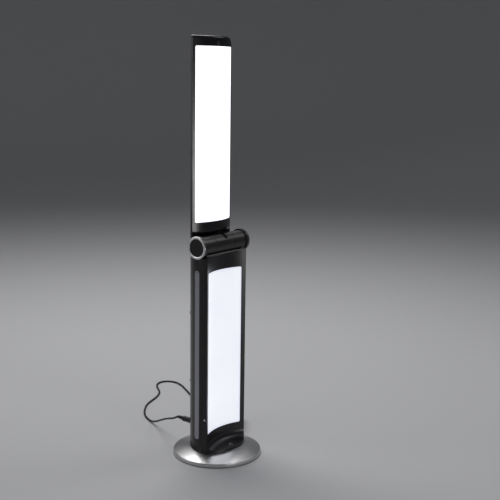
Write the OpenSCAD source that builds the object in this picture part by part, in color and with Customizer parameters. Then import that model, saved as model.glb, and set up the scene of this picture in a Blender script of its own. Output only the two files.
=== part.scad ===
// Folding light therapy lamp. A round weighted base carries a column with a dished lit front,
// and a lit arm folds forward on a barrel hinge until it lies in the dish.
// Millimetres, +Z up, front is -Y, origin at the centre of the underside of the base.

/* [Base] */
// Diameter of the base
base_d = 152; // [146:1:180]
// Height of the upright rim of the base cover
rim_h = 5.4; // [4.8:0.1:8]
// Radius of the rounded edge above the rim
rim_round = 1.8; // [1:0.1:2.4]
// Rise of the dome above the rounded edge
dome_h = 12.5; // [10:0.5:15]
// Wall thickness of the base cover
cover_wall = 1.6; // [1:0.1:2]
// Thickness of the rubber ring underneath
pad_t = 1.2; // [0.8:0.1:2]
// Width of the rubber ring
pad_w = 10; // [6:1:16]
// Thickness of the bottom plate
plate_t = 2; // [1.5:0.1:2.5]
// Thickness of the steel weight
weight_t = 5; // [3:0.5:5.5]
// Diameter of the steel weight
weight_d = 122; // [100:1:126]

/* [Column] */
// Width of the column across its round back
col_w = 103; // [98:1:108]
// Distance of the centre of the round back in front of the base centre
col_set = 6; // [4:0.5:8]
// Distance of the front rims in front of the base centre
front_set = 19.5; // [18:0.5:21]
// Height at which the column's shells end
col_top = 352; // [330:1:380]
// Depth of the dish in the column's front
dish_depth = 13; // [11:0.5:14]
// Width of the flat rim on each side of the dish
rim_land = 0.8; // [0.5:0.1:2]
// Wall thickness of the plastic shells
wall = 2.2; // [1.8:0.1:2.6]
// Distance of the joint between the two shells in front of the base centre
split_set = 12; // [10:0.5:14]
// Reach of the foot in front of the base centre
foot_set = 42; // [38:0.5:48]
// Height of the ledge on the foot
ledge_z = 20.5; // [20:0.1:22]
// Radius of the hollow between the dish and the ledge
scoop_r = 12; // [8:0.5:13]
// Height of the top lip above the shells
lip_h = 5.5; // [4:0.5:8]
// Thickness of the top lip
lip_t = 2; // [1.5:0.1:2.5]
// Chamfer along the top lip's front edge
lip_edge = 1.3; // [0.6:0.1:1.5]
// Width of the lit panel in the column
col_lit_w = 85.2; // [70:0.2:88]
// Height of the lower edge of the column's lit panel
col_lit_z0 = 46.1; // [44:0.1:80]
// Height of the upper edge of the column's lit panel
col_lit_z1 = 325.9; // [280:0.1:330]
// Corner radius of the lit panels
lit_corner = 2.5; // [1.5:0.5:6]

/* [Side strips] */
// Width of the strip on each side
strip_w = 11.3; // [8:0.1:13]
// Height of the lower end of the strip
strip_z0 = 36.6; // [34:0.1:60]
// Height of the upper end of the strip
strip_z1 = 330; // [280:0.5:335]
// Distance of the strip behind the base centre
strip_set = 2; // [0:0.5:6]
// Thickness of the strip
strip_t = 1.2; // [1:0.1:1.5]
// How far the strip stands out of the shell
strip_proud = 0.3; // [0.2:0.05:0.5]

/* [Hinge] */
// Height of the hinge axis above the shells
hinge_rise = 17.25; // [17.2:0.05:19]
// Distance of the hinge axis in front of the base centre
hinge_set = 2.1; // [1.5:0.1:3]
// Radius of the barrel
barrel_r = 16.8; // [15:0.1:16.8]
// Overall length of the hinge across its end rings
hinge_len = 114.8; // [113:0.2:118]
// Length of the middle knuckle
mid_len = 44.4; // [38:0.2:50]
// Radius of the end rings
ring_r = 19.3; // [18.5:0.1:20]
// Length of an end ring
ring_len = 5.6; // [5:0.1:6]
// Radius of the dark disc in an end ring
cap_r = 14.7; // [13:0.1:15.5]
// Radius of the hinge bolt
bolt_r = 4; // [3:0.5:5]
// Radial running clearance of the middle knuckle on the bolt
run_gap = 0.05; // [0.02:0.01:0.08]
// Thickness of a friction washer
washer_t = 0.6; // [0.5:0.1:1]
// Gap between the barrel and what it turns next to
barrel_gap = 0.4; // [0.3:0.05:0.6]

/* [Arm] */
// Width of the arm
arm_w = 95.8; // [90:0.2:96.4]
// Height of the arm's tip above the hinge axis
arm_len = 341.4; // [322:0.2:341.8]
// Thickness of the arm along its edges
arm_edge_t = 4.5; // [4:0.1:6]
// Rise of the crown on the arm's back
crown = 4; // [3:0.5:8]
// How far the arm's root reaches below the hinge axis
root_drop = 5; // [4:0.5:8]
// Wall thickness of the arm's shells
arm_wall = 1.8; // [1.4:0.1:2]
// Gap between the folded arm and the dish
fold_gap = 0.6; // [0.4:0.1:1]
// Radius of the arm's front edge at its root
root_round = 9.4; // [6:0.1:12]
// Gap between the arm's root and the top lip as the arm swings past it
swing_gap = 0.9; // [0.8:0.1:1.4]
// Radius of the rounded front edge at the tip
tip_round = 4; // [3:0.5:6]
// Corner radius at the tip on the thumb side
thumb_r = 22; // [10:1:24]
// Corner radius at the other corners of the arm
corner_r = 3; // [2:0.5:6]
// Width of the frame on each side of the arm's lit panel
arm_frame_w = 4; // [2.5:0.1:8]
// Height of the lower edge of the arm's lit panel above the hinge axis
arm_lit_z0 = 38.5; // [34:0.1:60]
// Distance of the upper edge of the arm's lit panel below the tip
arm_lit_z1 = 16.5; // [12:0.1:30]
// Diameter of the rubber rest above the arm's lit panel
rest_d = 7.4; // [5:0.2:9]
// How far the rubber rest stands out of the arm's front
rest_proud = 0.3; // [0.2:0.05:0.35]

/* [Controls and sockets] */
// Diameter of the power button
power_d = 11; // [9:0.5:13]
// Distance of the power button in front of the base centre
power_set = 31; // [30:0.5:32]
// Height of the power button above the ledge
power_rise = 2.6; // [2:0.1:3.5]
// Travel of the power button
power_travel = 0.8; // [0.5:0.1:1]
// Diameter of the small button on the side
side_d = 4; // [3:0.2:4]
// Height of the small button on the side
side_z = 74; // [60:1:300]
// Travel of the small button on the side
side_travel = 0.5; // [0.3:0.1:0.6]
// Height of the power socket
jack_z = 50.5; // [46:0.5:90]
// Distance of the power socket to the left of the middle
jack_set = 20; // [0:1:24]
// Gap between parts that are pushed together
fit = 0.1; // [0.05:0.01:0.15]

/* [Electronics] */
// Thickness of the circuit boards
board_t = 1.6; // [1:0.1:2]
// Size of one light-emitting diode
led_size = 3; // [2:0.5:4]
// Height of one light-emitting diode
led_h = 0.7; // [0.5:0.1:1.2]
// Rows of diodes on each board
led_rows = 16; // [8:1:24]
// Columns of diodes on each board
led_cols = 5; // [3:1:7]
// Thickness of the light panels
sheet_t = 1.8; // [1.4:0.1:2]

/* [Cord and adapter] */
// Diameter of the cord
cord_d = 3.5; // [3:0.1:3.9]
// Diameter of the plug's grip
plug_d = 9.6; // [8:0.2:11]
// Length of the plug's grip
plug_len = 26; // [22:0.5:30]
// Length of the bend relief behind the plug
relief_len = 12; // [8:0.5:16]
// Number of turns beside each other in the coil
coil_wide = 4; // [3:1:4]
// Number of turns on top of each other in the coil
coil_high = 2; // [2:1:3]
// Diameter of the coil at the middle of its turns
coil_d = 40; // [36:0.5:42]

/* [Hidden] */
big = 400;
fine = 180;
round_fn = 64;
small_fn = 32;

// Base
base_r = base_d / 2;
dome_r = base_r - rim_round;
rim_top = rim_h + rim_round;
dome_R = (dome_r * dome_r + dome_h * dome_h) / (2 * dome_h);
dome_top = rim_top + dome_h;
plate_top = pad_t + plate_t;
weight_top = plate_top + weight_t;
base_screw_x = weight_d * 0.213;
base_screw_front = weight_d * 0.033;
base_head_t = plate_t * 0.7;
base_screw_len = 3 * weight_t;

// Column outline seen from above: round back, straight front between two rims
col_R = col_w / 2;
front_y = -front_set;
split_y = -split_set;
rim_x = sqrt(col_R * col_R - (front_set - col_set) * (front_set - col_set));
dish_x = rim_x - rim_land;
dish_R = (dish_x * dish_x + dish_depth * dish_depth) / (2 * dish_depth);
dish_y = front_y + dish_depth - dish_R;
foot_s = foot_set - front_set;
foot_x = rim_x - rim_land / 2;
foot_R = (foot_x * foot_x + foot_s * foot_s) / (2 * foot_s);
foot_y = -foot_set + foot_R;
lip_z = col_top + lip_h;
dish_top = lip_z - lip_t;
cap_t = 6;
block_top = 32;
foot_top = ledge_z + scoop_r + 2;

// Hinge
hinge_z = col_top + hinge_rise;
hinge_y = -hinge_set;
end_x = hinge_len / 2;
ring_x = end_x - ring_len;
mid_x = mid_len / 2;
side_x = mid_x + washer_t;
clear_r = barrel_r + barrel_gap;
arm_clear_r = clear_r + 0.2;
cheek_x = rim_x - 4;
cheek_y = 12;
head_r = 7.5;
head_t = 3;

// Arm: its front is the dish mirrored in the hinge axis, less the gap
arm_R = dish_R - fold_gap;
arm_y = 2 * hinge_y - dish_y;
arm_x = arm_w / 2;
arm_edge_y = arm_y - sqrt(arm_R * arm_R - arm_x * arm_x);
back_edge_y = arm_edge_y + arm_edge_t;
back_R = (arm_x * arm_x + crown * crown) / (2 * crown);
back_y = back_edge_y + crown - back_R;
back_mid_y = back_edge_y + crown;
arm_z0 = hinge_z - root_drop;
arm_z1 = hinge_z + arm_len;
arm_lit_w = arm_w - 2 * arm_frame_w;
arm_lit_lo = hinge_z + arm_lit_z0;
arm_lit_hi = arm_z1 - arm_lit_z1;
lip_reach = norm([front_y - hinge_y, dish_top - hinge_z]);
swing_r = lip_reach + swing_gap;
root_y = 2 * hinge_y - front_y + fold_gap;
root_z = hinge_z + hinge_z - lip_z;
arm_low = hinge_z + hinge_z - dish_top + fold_gap;
tongue_x = mid_x - 2;
tongue_y0 = root_y + arm_wall + fit;
knuckle_seat_y = back_mid_y - 1.9;
tongue_y1 = back_mid_y - arm_wall - 1;
tongue_top = hinge_z + 33;
rest_land = 0.5;
neck_hi = 8;
neck_lo = 2;

// Electronics
col_board_y = 8;
arm_board_y = back_mid_y - arm_wall - 4.6;
tray_wall = 1.2;
col_tray_x = col_lit_w / 2 + 1.4;
arm_tray_x = arm_lit_w / 2 - 2.2;
jack_w = 9;
jack_h = 11;
jack_len = 14;
jack_hole_r = 2.8;
jack_out_x = jack_set + jack_w / 2;
jack_face_y = sqrt((col_R - wall) * (col_R - wall) - jack_out_x * jack_out_x) - col_set - fit;
control_y = jack_face_y - jack_len - board_t;
control_x = 24;
control_z0 = block_top + 6;
control_z1 = jack_z + 60;
screw_x = 30;
screw_z = [block_top + 7, col_top - 16];
yoke_screw_z = col_top - cap_t / 2;
board_post_z = [130, 250];
control_post_z = control_z1 - 6;
screw_r = 1.5;
screw_head_r = 3;
screw_head_t = 1.6;
screw_sink = 4;
screw_pad_t = 1.8;
screw_seat_y = sqrt(col_R * col_R - screw_x * screw_x) - col_set - screw_sink;
boss_r = 4;
pad_r = 4.6;
post_r = 3;

// Small side button
side_y = split_y - side_d / 2 - 1.4;
side_x0 = sqrt(col_R * col_R - (side_y + col_set) * (side_y + col_set));
side_deep = side_x0 - 47.2;
side_out = 0.5;

// Cord
cord_r = cord_d / 2;
plug_y0 = jack_face_y + 0.3;
plug_y1 = plug_y0 + plug_len;
relief_y1 = plug_y1 + relief_len;
coil_x = 82;
coil_y = 99;
coil_out_r = coil_d / 2 + coil_wide * cord_d / 2;
coil_in_r = coil_d / 2 - coil_wide * cord_d / 2;
coil_z1 = coil_high * cord_d;
coil_turn_r = coil_out_r - cord_r;
tie_turn = 215;
adapter_at = [116, 62];
adapter_turn = -51;
adapter_size = [28, 62, 36];
adapter_round = 4;

// Points along the free cord, chosen by hand
route = [
  [-jack_set, relief_y1, jack_z], [-19.3, 82, 46.6], [-17, 90, 42.6], [-12, 102, 37.8],
  [-5, 115, 32.4], [2, 131, 25.2], [9, 147, 17.4], [15, 163, 9.6], [20, 178, 4],
  [26, 194, 1.9], [35, 212, 1.8], [48, 228, 1.8], [64, 243, 1.8], [82, 256, 1.8],
  [102, 265, 1.8], [122, 272, 1.8], [140, 281, 1.8], [155, 293, 1.8], [167, 309, 1.8],
  [179, 324, 1.8], [193, 333, 1.8], [208, 332, 1.8], [218, 321, 1.8], [220, 305, 1.8],
  [214, 286, 1.8], [202, 264, 1.8], [188, 240, 1.8], [172, 214, 1.8], [154, 187, 1.8],
  [137, 160, 1.8], [122, 139, 1.8], [104, 126, 1.8], [coil_x, coil_y + coil_turn_r, 1.8]
];

// Points along the short cord from the outer turn of the coil to the adapter
adapter_route = [
  [coil_x + coil_turn_r + 1.4, coil_y, coil_z1 - cord_r],
  [109.1, 108.3, 4.4], [113.7, 116.4, 2.7], [121.8, 121, 1.8], [131.1, 121.5, 1.8],
  [140.4, 121.5, 2.5], [149.3, 118.9, 5.3], [155.6, 112.1, 9.3], [157.6, 103.1, 13.5],
  [154.6, 94.3, 16.7], [147.9, 87.8, 18]
];

// ---- shared shapes ----

// Outer form of the base, shrunk by t
module base_form(t) {
  rotate_extrude($fn = fine) {
    square([base_r - t, rim_h]);
    translate([dome_r, rim_h]) circle(max(rim_round - t, 0.1), $fn = round_fn);
    intersection() {
      translate([0, dome_top - dome_R]) circle(dome_R - t, $fn = fine);
      square([dome_r, dome_top]);
    }
  }
}

// Outline of the column, shrunk by t except at its straight front
module column_outline(t) {
  intersection() {
    translate([0, -col_set]) circle(col_R - t, $fn = fine);
    translate([-big / 2, front_y]) square([big, big]);
  }
}

// Outline of the round ledge in front of the column, shrunk by t
module ledge_outline(t) {
  intersection() {
    translate([0, foot_y]) circle(foot_R - t, $fn = fine);
    translate([-col_R + t, front_y - big]) square([2 * (col_R - t), big]);
  }
}

// Outline of the foot: the column and the ledge, shrunk by t
module foot_outline(t) {
  column_outline(t);
  ledge_outline(t);
}

// Half section of the hollow that the dish, the scoop and the space under the lip share
module dish_profile(t) {
  far = dish_R + t;
  low = ledge_z - t;
  high = dish_top + t;
  low_r = scoop_r + t;
  translate([0, low]) square([far - low_r, high - low]);
  translate([0, low + low_r]) square([far, high - low - low_r]);
  translate([far - low_r, low + low_r]) circle(low_r, $fn = round_fn);
}

// That hollow as a solid, grown by t
module dish_form(t) {
  translate([0, dish_y, 0]) rotate_extrude($fn = fine) dish_profile(t);
}

// Skin around that hollow, with a round wall below the hinge's barrel
module dish_skin() {
  difference() {
    dish_form(wall);
    difference() {
      dish_form(0);
      hinge_round(clear_r + wall, -big, big);
    }
  }
}

// Cylinder along X on the hinge axis
module hinge_round(r, x0, x1) {
  translate([x0, hinge_y, hinge_z]) rotate([0, 90, 0]) cylinder(r = r, h = x1 - x0, $fn = fine);
}

// Rounded rectangle standing in the XZ plane, extruded from y0 to y1
module upright_window(half_w, z0, z1, r, y0, y1) {
  translate([0, y1, 0]) rotate([90, 0, 0]) linear_extrude(y1 - y0) {
    translate([-half_w + r, z0]) square([2 * (half_w - r), z1 - z0]);
    translate([-half_w, z0 + r]) square([2 * half_w, z1 - z0 - 2 * r]);
    for (x = [-half_w + r, half_w - r], z = [z0 + r, z1 - r])
      translate([x, z]) circle(r, $fn = small_fn);
  }
}

// Strip with round ends on the side at angle sign s, between two radii of the column
module strip_form(s, grow, r0, r1) {
  half = strip_w / 2 + grow;
  intersection() {
    translate([0, -col_set, 0]) linear_extrude(col_top) difference() {
      circle(r1, $fn = fine);
      circle(r0, $fn = fine);
    }
    translate([s > 0 ? 0 : -big, strip_set, 0]) rotate([90, 0, 90]) linear_extrude(big) {
      translate([-half, strip_z0 + strip_w / 2])
        square([2 * half, strip_z1 - strip_z0 - strip_w]);
      for (z = [strip_z0 + strip_w / 2, strip_z1 - strip_w / 2])
        translate([0, z]) circle(half, $fn = round_fn);
    }
  }
}

// ---- base ----

module base_cover() {
  color("silver") difference() {
    base_form(0);
    base_form(cover_wall);
    translate([0, 0, -1]) cylinder(r = base_r + 1, h = pad_t + 1, $fn = fine);
    linear_extrude(dome_top + 1) foot_outline(wall);
  }
}

module base_weight() {
  color("dimgray") difference() {
    translate([0, 0, plate_top]) cylinder(d = weight_d, h = weight_t, $fn = fine);
    base_screw_places() cylinder(r = screw_r + fit, h = big, $fn = small_fn);
  }
}

module bottom_plate() {
  color("black") difference() {
    translate([0, 0, pad_t])
      cylinder(r = base_r - cover_wall - fit, h = plate_t, $fn = fine);
    base_screw_places() cylinder(r = screw_r + fit, h = big, $fn = small_fn);
    base_screw_places() cylinder(r = screw_head_r + fit, h = pad_t + base_head_t, $fn = small_fn);
  }
}

module rubber_ring() {
  color("black") difference() {
    cylinder(r = base_r - 6, h = pad_t, $fn = fine);
    translate([0, 0, -1]) cylinder(r = base_r - 6 - pad_w, h = pad_t + 2, $fn = fine);
  }
}

// Four screws hold the plate, the weight and the foot block together
module base_screw_places() {
  for (x = [-base_screw_x, base_screw_x], y = [-base_screw_front, base_screw_x])
    translate([x, y, 0]) children();
}

module base_screws() {
  color("gray") base_screw_places() {
    translate([0, 0, pad_t]) cylinder(r = screw_head_r, h = base_head_t, $fn = small_fn);
    translate([0, 0, pad_t + base_head_t])
      cylinder(r = screw_r, h = base_screw_len, $fn = small_fn);
  }
}

module foot_block() {
  color("gray") difference() {
    translate([0, 0, weight_top])
      linear_extrude(block_top - weight_top) foot_outline(wall + fit);
    dish_form(wall + fit);
    translate([0, 4, 18]) linear_extrude(big) column_outline(12);
    base_screw_places()
      cylinder(r = screw_r, h = pad_t + base_head_t + base_screw_len + 4, $fn = small_fn);
    translate([0, -power_set, ledge_z - 8.5]) cylinder(d = power_d + 4, h = big, $fn = round_fn);
  }
}

// ---- column ----

module column_rear_shell() {
  color("black") difference() {
    union() {
      linear_extrude(col_top) difference() {
        column_outline(0);
        column_outline(wall);
        translate([-big / 2, split_y - big]) square([big, big]);
      }
      rear_posts(screw_x, board_post_z, col_board_y + board_t);
      rear_posts(jack_set, [control_post_z], control_y + board_t);
      intersection() {
        column_screw_places(yoke_screw_z) translate([0, 0, -screw_sink])
          cylinder(r = pad_r, h = screw_sink + screw_pad_t, $fn = small_fn);
        translate([0, -col_set, 0]) cylinder(r = col_R - wall / 2, h = col_top, $fn = fine);
      }
    }
    base_form(-fit / 2);
    for (s = [-1, 1])
      strip_form(s, fit, col_R + strip_proud - strip_t, col_R + 1);
    column_screw_places(yoke_screw_z) {
      cylinder(r = screw_r + fit, h = 8, $fn = small_fn);
      translate([0, 0, -20]) cylinder(r = screw_head_r + fit, h = 20, $fn = small_fn);
    }
    translate([-jack_set, 0, jack_z]) rotate([-90, 0, 0])
      cylinder(d = plug_d + 6 * fit, h = big, $fn = round_fn);
  }
}

// Posts that reach forwards from the rear shell to a board
module rear_posts(x_out, heights, y0) {
  for (x = [-x_out, x_out], z = heights) {
    y1 = sqrt(col_R * col_R - x * x) - col_set - wall / 2;
    translate([x, y0, z]) rotate([-90, 0, 0]) cylinder(r = post_r, h = y1 - y0, $fn = small_fn);
  }
}

module column_front_shell() {
  color("black") difference() {
    union() {
      intersection() {
        dish_skin();
        column_block();
      }
      difference() {
        side_walls();
        dish_form(0);
      }
      difference() {
        column_bosses();
        dish_form(wall / 2);
      }
      side_button_place(side_deep) cylinder(d = side_d + 2.4, h = side_deep - 0.4, $fn = small_fn);
    }
    base_form(-fit / 2);
    hinge_round(clear_r, -end_x, end_x);
    translate([0, front_y, lip_z]) rotate([45, 0, 0])
      cube([big, lip_edge * sqrt(2), lip_edge * sqrt(2)], center = true);
    upright_window(col_lit_w / 2, col_lit_z0, col_lit_z1, lit_corner, front_y - 1, 0);
    column_screw_places(screw_z[1]) cylinder(r = screw_r, h = 24, $fn = small_fn);
    translate([0, -power_set, 0])
      cylinder(d = power_d + 2 * run_gap, h = big, $fn = round_fn);
    side_button_place(side_deep) cylinder(d = side_d + 2 * run_gap, h = 10, $fn = small_fn);
  }
}

// The column and its ledge as a block
module column_block() {
  linear_extrude(lip_z) column_outline(0);
  linear_extrude(foot_top) ledge_outline(0);
}

// Side walls of the front shell and the wall of the ledge
module side_walls() {
  linear_extrude(col_top) difference() {
    column_outline(0);
    column_outline(wall);
    translate([-big / 2, split_y]) square([big, big]);
  }
  linear_extrude(foot_top) difference() {
    ledge_outline(0);
    ledge_outline(wall);
  }
}

// Posts from the front shell back to the rear shell
module column_bosses() {
  for (x = [-screw_x, screw_x], z = screw_z)
    intersection() {
      translate([x, front_y, z]) rotate([-90, 0, 0])
        cylinder(r = boss_r, h = screw_seat_y - screw_pad_t - front_y, $fn = small_fn);
      translate([0, -col_set, 0]) cylinder(r = col_R - wall - fit, h = col_top, $fn = fine);
    }
}

// Seats of the column's screws, pointing forwards, up to the height given
module column_screw_places(highest) {
  for (x = [-screw_x, screw_x], z = concat(screw_z, [yoke_screw_z]))
    if (z <= highest) translate([x, screw_seat_y, z]) rotate([90, 0, 0]) children();
}

module column_screws() {
  color("gray") column_screw_places(yoke_screw_z) {
    cylinder(r = screw_r, h = 14, $fn = small_fn);
    translate([0, 0, -screw_head_t]) cylinder(r = screw_head_r, h = screw_head_t, $fn = small_fn);
  }
}

module column_light_panel() {
  color("white") intersection() {
    translate([0, dish_y, 0]) linear_extrude(big) difference() {
      circle(dish_R + wall, $fn = fine);
      circle(dish_R + wall - sheet_t, $fn = fine);
    }
    upright_window(col_lit_w / 2 - fit, col_lit_z0 + fit, col_lit_z1 - fit,
      lit_corner, front_y - 1, 0);
  }
}

// Frame that carries the light from the diodes to the panel
module column_reflector() {
  color("white") difference() {
    tray(col_tray_x, col_lit_z0 - 1.4, col_lit_z1 + 1.4, front_y, col_board_y);
    translate([0, dish_y, -1]) cylinder(r = dish_R + wall + fit, h = big, $fn = fine);
  }
}

module tray(half_w, z0, z1, y0, y1) {
  difference() {
    translate([-half_w, y0, z0]) cube([2 * half_w, y1 - y0, z1 - z0]);
    translate([-half_w + tray_wall, y0 - 1, z0 + tray_wall])
      cube([2 * (half_w - tray_wall), y1 - y0 + 2, z1 - z0 - 2 * tray_wall]);
  }
}

// Board with a grid of diodes facing forwards
module led_board(half_w, z0, z1, y) {
  step_x = 2 * (half_w - 6) / (led_cols - 1);
  step_z = (z1 - z0 - 16) / (led_rows - 1);
  color("green") translate([-half_w, y, z0]) cube([2 * half_w, board_t, z1 - z0]);
  color("gold") for (i = [0 : led_cols - 1], j = [0 : led_rows - 1])
    translate([-half_w + 6 + i * step_x - led_size / 2, y - led_h,
      z0 + 8 + j * step_z - led_size / 2])
      cube([led_size, led_h, led_size]);
}

module column_led_board() {
  led_board(col_tray_x, col_lit_z0 - 1.4, col_lit_z1 + 1.4, col_board_y);
}

module side_strip(s) {
  color("lightgray") difference() {
    strip_form(s, 0, col_R + strip_proud - strip_t + fit / 2, col_R + strip_proud);
    translate([0, strip_set, strip_z1 - strip_w / 4]) rotate([0, 90, 0])
      cylinder(r = 1.2, h = s * big, $fn = small_fn);
  }
}

module side_strip_left() {
  mirror([1, 0, 0]) side_strip(1);
}

module side_strip_right() {
  side_strip(1);
}

// ---- controls and electronics ----

module dc_socket() {
  color("dimgray") difference() {
    translate([-jack_set - jack_w / 2, jack_face_y - jack_len, jack_z - jack_h / 2])
      cube([jack_w, jack_len, jack_h]);
    translate([-jack_set, jack_face_y + 1, jack_z]) rotate([90, 0, 0])
      cylinder(r = jack_hole_r, h = 11, $fn = small_fn);
  }
}

module control_board() {
  back = control_y + board_t;
  color("green") translate([-control_x, control_y, control_z0])
    cube([2 * control_x, board_t, control_z1 - control_z0]);
  color("dimgray") translate([-6, back, jack_z + 22]) cube([10, 2, 10]);
  color("black") translate([6, back, jack_z + 38]) cube([8, 7, 10]);
  color("silver") for (x = [-12, -2])
    translate([x, back, jack_z + 44]) rotate([-90, 0, 0])
      cylinder(r = 3.5, h = 11, $fn = small_fn);
}

module power_button() {
  dome_r2 = (power_d * power_d / 4 + power_rise * power_rise) / (2 * power_rise);
  low = ledge_z - wall;
  color("dimgray") {
    intersection() {
      translate([0, -power_set, low - 0.4])
        cylinder(d = power_d, h = wall + 0.4 + power_rise, $fn = round_fn);
      translate([0, -power_set, ledge_z + power_rise - dome_r2]) sphere(dome_r2, $fn = fine);
    }
    translate([0, -power_set, low - 1.4]) cylinder(d = power_d + 2, h = 1.1, $fn = round_fn);
  }
}

module power_switch() {
  low = ledge_z - 8.5;
  high = ledge_z - wall - 1.4 - power_travel - 0.1;
  color("black") translate([-3, -power_set - 3, low]) cube([6, 6, high - low - 0.8]);
  color("silver") translate([0, -power_set, high - 0.8])
    cylinder(r = 1.6, h = 0.8, $fn = small_fn);
}

// Place of the small side button on the left side, its axis pointing out to the left
module side_button_place(depth) {
  translate([-side_x0 + depth, side_y, side_z]) rotate([0, -90, 0]) children();
}

module side_button() {
  inner = side_deep - side_travel - 0.4;
  ball = 5;
  color("silver") intersection() {
    side_button_place(inner) cylinder(d = side_d, h = inner + side_out, $fn = small_fn);
    side_button_place(ball - side_out) sphere(ball, $fn = round_fn);
  }
}

module side_contact() {
  color("gold") side_button_place(side_deep) cylinder(r = 1.5, h = 0.25, $fn = small_fn);
}

// ---- hinge ----

module hinge_yoke() {
  color("black") difference() {
    union() {
      difference() {
        yoke_saddle();
        dish_form(wall + fit);
      }
      for (s = [-1, 1])
        hinge_round(barrel_r, s > 0 ? side_x : -ring_x, s > 0 ? ring_x : -side_x);
    }
    hinge_round(bolt_r + run_gap, -end_x, end_x);
    column_screw_places(yoke_screw_z) {
      cylinder(r = screw_r, h = 24, $fn = small_fn);
      translate([0, 0, -20])
        cylinder(r = pad_r + fit, h = 20 + screw_pad_t + fit, $fn = small_fn);
    }
  }
}

// Plate across the column's top with a block below each outer length of the barrel
module yoke_saddle() {
  translate([0, 0, col_top - cap_t]) linear_extrude(cap_t) column_outline(wall + fit);
  for (s = [-1, 1])
    translate([s > 0 ? side_x : -cheek_x, hinge_y - cheek_y, col_top - 1])
      cube([cheek_x - side_x, 2 * cheek_y, hinge_rise - 6]);
}

module hinge_bolt() {
  color("gray") {
    hinge_round(bolt_r, -ring_x - 0.1, ring_x + head_t);
    hinge_round(head_r, -ring_x - head_t, -ring_x);
  }
}

module hinge_nut() {
  color("gray") difference() {
    translate([ring_x, hinge_y, hinge_z]) rotate([0, 90, 0])
      cylinder(r = head_r, h = head_t, $fn = 6);
    hinge_round(bolt_r + run_gap, 0, big);
  }
}

module friction_washers() {
  color("gold") for (x = [-side_x, mid_x])
    difference() {
      hinge_round(12, x + fit / 2, x + washer_t - fit / 2);
      hinge_round(bolt_r + run_gap, -end_x, end_x);
    }
}

module hinge_ring() {
  color("silver") difference() {
    hinge_round(ring_r, ring_x, end_x);
    hinge_round(head_r + 0.6, 0, big);
    hinge_round(cap_r + fit, ring_x + head_t + 0.2, big);
  }
}

module hinge_ring_left() {
  mirror([1, 0, 0]) hinge_ring();
}

module hinge_ring_right() {
  hinge_ring();
}

module hinge_disc() {
  color("black") hinge_round(cap_r, ring_x + head_t + 0.2, end_x - 0.8);
}

module hinge_disc_left() {
  mirror([1, 0, 0]) hinge_disc();
}

module hinge_disc_right() {
  hinge_disc();
}

// ---- arm ----

// Outer form of the arm, shrunk by t
module arm_form(t) {
  intersection() {
    union() {
      difference() {
        arm_front_form(t);
        hinge_round(swing_r + t, -big, big);
      }
      difference() {
        translate([-big / 2, root_y + t, arm_z0]) cube([big, big, arm_lit_lo - arm_z0]);
        hinge_round(arm_clear_r + t, -big, big);
      }
    }
    translate([0, back_y, arm_z0 + t])
      cylinder(r = back_R - t, h = arm_z1 - arm_z0 - 2 * t, $fn = 2 * fine);
    arm_outline(t);
  }
}

// Everything behind the arm's curved front, with its rounded edges at the root and the tip
module arm_front_form(t) {
  far = arm_R - t;
  low = arm_low + t;
  high = arm_z1 - t;
  low_r = root_round - t;
  high_r = tip_round - t;
  translate([0, arm_y, 0]) rotate_extrude($fn = fine) {
    translate([0, low]) square([far - low_r, low_r]);
    translate([0, low + low_r]) square([far, high - low - low_r - high_r]);
    translate([far - low_r, low + low_r]) circle(low_r, $fn = round_fn);
    translate([0, high - high_r]) square([far - high_r, high_r]);
    translate([far - high_r, high - high_r]) circle(high_r, $fn = round_fn);
  }
}

// Front view of the arm with its rounded corners, as a block through all depths
module arm_outline(t) {
  x = arm_x - t;
  low = arm_z0 + t;
  high = arm_z1 - t;
  small = corner_r - t / 2;
  large = thumb_r - t;
  translate([0, big / 2, 0]) rotate([90, 0, 0]) linear_extrude(big) {
    translate([-x, low + small]) square([2 * x, high - large - low - small]);
    translate([-x + small, low]) square([2 * (x - small), high - large - low]);
    translate([-x + small, high - large - 1]) square([2 * x - small - large, large + 1]);
    translate([-x, high - large - 1]) square([2 * small, large + 1 - small]);
    for (sx = [-1, 1])
      translate([sx * (x - small), low + small]) circle(small, $fn = round_fn);
    translate([-x + small, high - small]) circle(small, $fn = round_fn);
    translate([x - large, high - large]) circle(large, $fn = round_fn);
  }
}

// The part of the arm that belongs to its rear shell
module arm_rear_zone() {
  translate([0, arm_y, 0]) cylinder(r = arm_R - arm_wall, h = big * 2, $fn = fine);
  translate([-big / 2, -big, arm_z0 - 1]) cube([big, 2 * big, root_z + 2 - arm_z0 + 1]);
}

module arm_front_shell() {
  color("black") difference() {
    arm_form(0);
    arm_rear_zone();
    upright_window(arm_lit_w / 2, arm_lit_lo, arm_lit_hi, lit_corner, -big, big);
    arm_rest_place() cylinder(d = rest_d + 2 * fit, h = big, $fn = small_fn);
  }
}

module arm_rear_shell() {
  color("black") difference() {
    union() {
      difference() {
        intersection() {
          arm_form(0);
          arm_rear_zone();
        }
        arm_form(arm_wall);
      }
      knuckle_screw_places() translate([0, 0, -1])
        cylinder(r = boss_r, h = knuckle_seat_y - tongue_y1 + 1, $fn = small_fn);
    }
    translate([-tongue_x - fit, hinge_y, hinge_z - neck_lo - fit])
      cube([2 * (tongue_x + fit), tongue_y1 - hinge_y, neck_hi + neck_lo + 2 * fit]);
    knuckle_screw_places() {
      cylinder(r = screw_r + fit, h = 8, $fn = small_fn);
      translate([0, 0, -20]) cylinder(r = screw_head_r + fit, h = 20, $fn = small_fn);
    }
  }
}

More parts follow.
